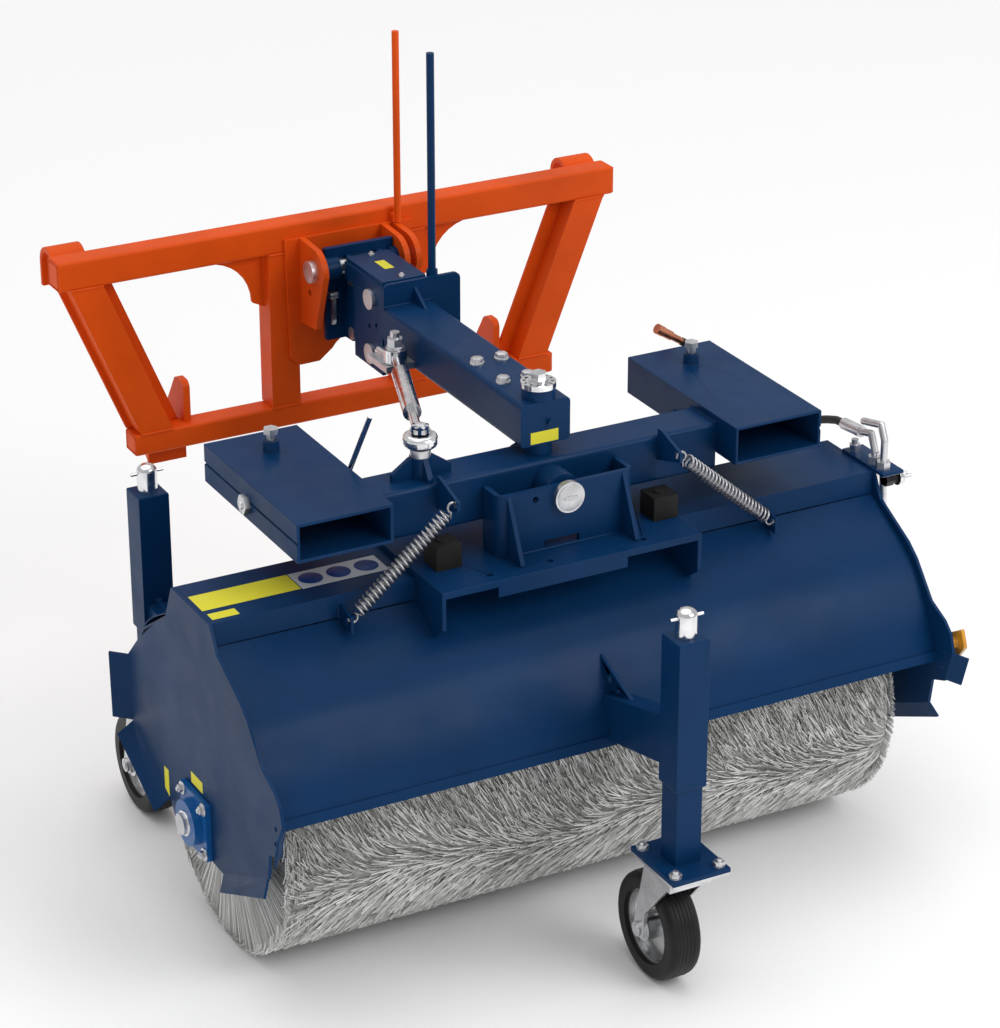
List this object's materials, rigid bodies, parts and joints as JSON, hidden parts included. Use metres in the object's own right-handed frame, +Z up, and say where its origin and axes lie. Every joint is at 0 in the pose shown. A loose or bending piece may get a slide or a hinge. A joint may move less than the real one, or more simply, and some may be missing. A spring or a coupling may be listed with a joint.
{
  "type": "sweeping machine",
  "caption": "Mounted sweeping machine: hooked hitch frame, floating head, swinging boom, sprung roll frame with fork pockets, castored hood and spinning brush.",
  "frame": {"origin": "ground level under the middle of the machine seen from above", "axes": "+Z up, +X along the brush towards its drive motor, +Y back to the carrier vehicle"},
  "size_m": [1.514, 1.4884, 1.42],
  "materials": {
    "orange_paint": "gloss",
    "blue_paint": "gloss",
    "zinc": "satin",
    "chrome": "polished",
    "black_rubber": "matte",
    "black_paint": "satin",
    "bearing_blue": "gloss",
    "amber": "gloss",
    "tyre": "matte",
    "bristle": "matte"
  },
  "bodies": {
    "hitch": {"hitch_top_beam": "orange_paint", "hitch_lower_beam": "orange_paint", "hitch_diagonals": "orange_paint", "hitch_uprights": "orange_paint", "hitch_centre_plate": "orange_paint", "hitch_ears": "orange_paint", "hooks": "orange_paint", "lower_bracket_left": "orange_paint", "lower_bracket_right": "orange_paint", "indicator_rod": "orange_paint", "head_carrier": "blue_paint", "ear_pin": "zinc", "rear_link_pins": "zinc"},
    "latch": {"latch_lever": "zinc"},
    "upper_link": {"upper_link": "blue_paint"},
    "lower_link": {"lower_link": "blue_paint"},
    "head": {"head_sides": "blue_paint", "head_front_plate": "blue_paint", "front_link_pins": "zinc", "boom": "blue_paint", "strut_anchor": "zinc"},
    "strut_rear": {"strut_rear": "chrome"},
    "strut_front": {"strut_front": "chrome"},
    "swing_frame": {"cross_beam": "blue_paint", "left_pocket": "blue_paint", "right_pocket": "blue_paint", "yaw_pin": "chrome", "strut_bracket": "blue_paint", "hose_guide": "black_rubber", "left_spring": "zinc", "right_spring": "zinc"},
    "left_clamp": {"left_clamp_bolt": "zinc"},
    "right_clamp": {"right_clamp_bolt": "zinc"},
    "hood": {"carriage": "blue_paint", "roll_bracket": "blue_paint", "roll_pin": "zinc", "buffers": "black_rubber", "channel": "blue_paint", "hood_front_sheet": "blue_paint", "hood_rear_sheet": "blue_paint", "left_end_plate": "blue_paint", "right_end_plate": "blue_paint", "left_bearing": "bearing_blue", "drive_motor": "black_paint", "hose_fittings": "zinc", "hydraulic_hose": "black_rubber", "hose_coupler": "zinc", "side_reflector": "amber", "front_mast": "blue_paint", "rear_mast": "blue_paint"},
    "front_spindle": {"front_spindle": "chrome"},
    "rear_spindle": {"rear_spindle": "chrome"},
    "front_post": {"front_castor_post": "blue_paint"},
    "rear_post": {"rear_castor_post": "blue_paint"},
    "front_fork": {"front_fork": "zinc"},
    "rear_fork": {"rear_fork": "zinc"},
    "front_wheel": {"front_wheel": "tyre"},
    "rear_wheel": {"rear_wheel": "tyre"},
    "brush": {"brush_core": "zinc", "brush_bristles": "bristle"}
  },
  "joints": [
    {"name": "latch_turn", "type": "hinge", "parent": "hitch", "child": "latch", "pos_m": [-0.108, 0.54925, 0.907], "axis": [-1, 0, 0], "range_deg": [0, 75]},
    {"name": "float_up", "type": "hinge", "parent": "hitch", "child": "upper_link", "pos_m": [-0.041, 0.52725, 0.941], "axis": [-1, 0, 0], "range_deg": [0, 25]},
    {"name": "lower_link_turn", "type": "hinge", "parent": "hitch", "child": "lower_link", "pos_m": [-0.041, 0.52725, 0.83], "axis": [-1, 0, 0], "range_deg": [0, 25]},
    {"name": "head_level", "type": "hinge", "parent": "upper_link", "child": "head", "pos_m": [-0.041, 0.41725, 0.941], "axis": [-1, 0, 0], "range_deg": [-25, 0]},
    {"name": "swing_yaw", "type": "hinge", "parent": "head", "child": "swing_frame", "pos_m": [-0.041, -0.15375, 0.9], "axis": [0, 0, 1], "range_deg": [-10, 10]},
    {"name": "strut_turn", "type": "hinge", "parent": "head", "child": "strut_rear", "pos_m": [-0.123, 0.25125, 0.892], "axis": [0, 0, 1], "range_deg": [-2, 2]},
    {"name": "strut_slide", "type": "slide", "parent": "strut_rear", "child": "strut_front", "axis": [-0.3532, -0.935, 0.0323], "range_m": [-0.04, 0.04]},
    {"name": "left_clamp_slide", "type": "slide", "parent": "swing_frame", "child": "left_clamp", "axis": [0, 0, -1], "range_m": [-0.005, 0.011]},
    {"name": "right_clamp_slide", "type": "slide", "parent": "swing_frame", "child": "right_clamp", "axis": [0, 0, -1], "range_m": [-0.005, 0.011]},
    {"name": "hood_roll", "type": "hinge", "parent": "swing_frame", "child": "hood", "pos_m": [-0.041, -0.16875, 0.792], "axis": [0, 1, 0], "range_deg": [-4, 4], "stiffness_Nm_per_rad": 900, "deforming": ["left_spring", "right_spring"]},
    {"name": "brush_spin", "type": "hinge", "parent": "hood", "child": "brush", "pos_m": [-0.041, -0.14875, 0.262], "axis": [1, 0, 0], "continuous": true},
    {"name": "front_lift", "type": "slide", "parent": "hood", "child": "front_post", "axis": [0, 0, 1], "range_m": [-0.06, 0.06]},
    {"name": "front_spindle_turn", "type": "hinge", "parent": "hood", "child": "front_spindle", "pos_m": [-0.041, -0.67175, 0.72], "axis": [0, 0, 1], "range_deg": [-3600, 3600]},
    {"name": "front_swivel", "type": "hinge", "parent": "front_post", "child": "front_fork", "pos_m": [-0.041, -0.67175, 0.245], "axis": [0, 0, 1], "continuous": true},
    {"name": "front_wheel_spin", "type": "hinge", "parent": "front_fork", "child": "front_wheel", "pos_m": [-0.041, -0.60575, 0.1], "axis": [1, 0, 0], "continuous": true},
    {"name": "rear_lift", "type": "slide", "parent": "hood", "child": "rear_post", "axis": [0, 0, 1], "range_m": [-0.06, 0.06]},
    {"name": "rear_spindle_turn", "type": "hinge", "parent": "hood", "child": "rear_spindle", "pos_m": [-0.608, 0.30525, 0.72], "axis": [0, 0, 1], "range_deg": [-3600, 3600]},
    {"name": "rear_swivel", "type": "hinge", "parent": "rear_post", "child": "rear_fork", "pos_m": [-0.608, 0.30525, 0.245], "axis": [0, 0, 1], "continuous": true},
    {"name": "rear_wheel_spin", "type": "hinge", "parent": "rear_fork", "child": "rear_wheel", "pos_m": [-0.608, 0.37125, 0.1], "axis": [1, 0, 0], "continuous": true}
  ],
  "couplings": [
    {"joint": "head_level", "follows": "float_up", "ratio": -1},
    {"joint": "lower_link_turn", "follows": "float_up", "ratio": 1},
    {"joint": "strut_turn", "follows": "swing_yaw", "ratio": 0.19},
    {"joint": "strut_slide", "follows": "swing_yaw", "m_per_rad": 0.219},
    {"joint": "front_spindle_turn", "follows": "front_lift", "rad_per_m": 1047.2},
    {"joint": "rear_spindle_turn", "follows": "rear_lift", "rad_per_m": 1047.2}
  ]
}
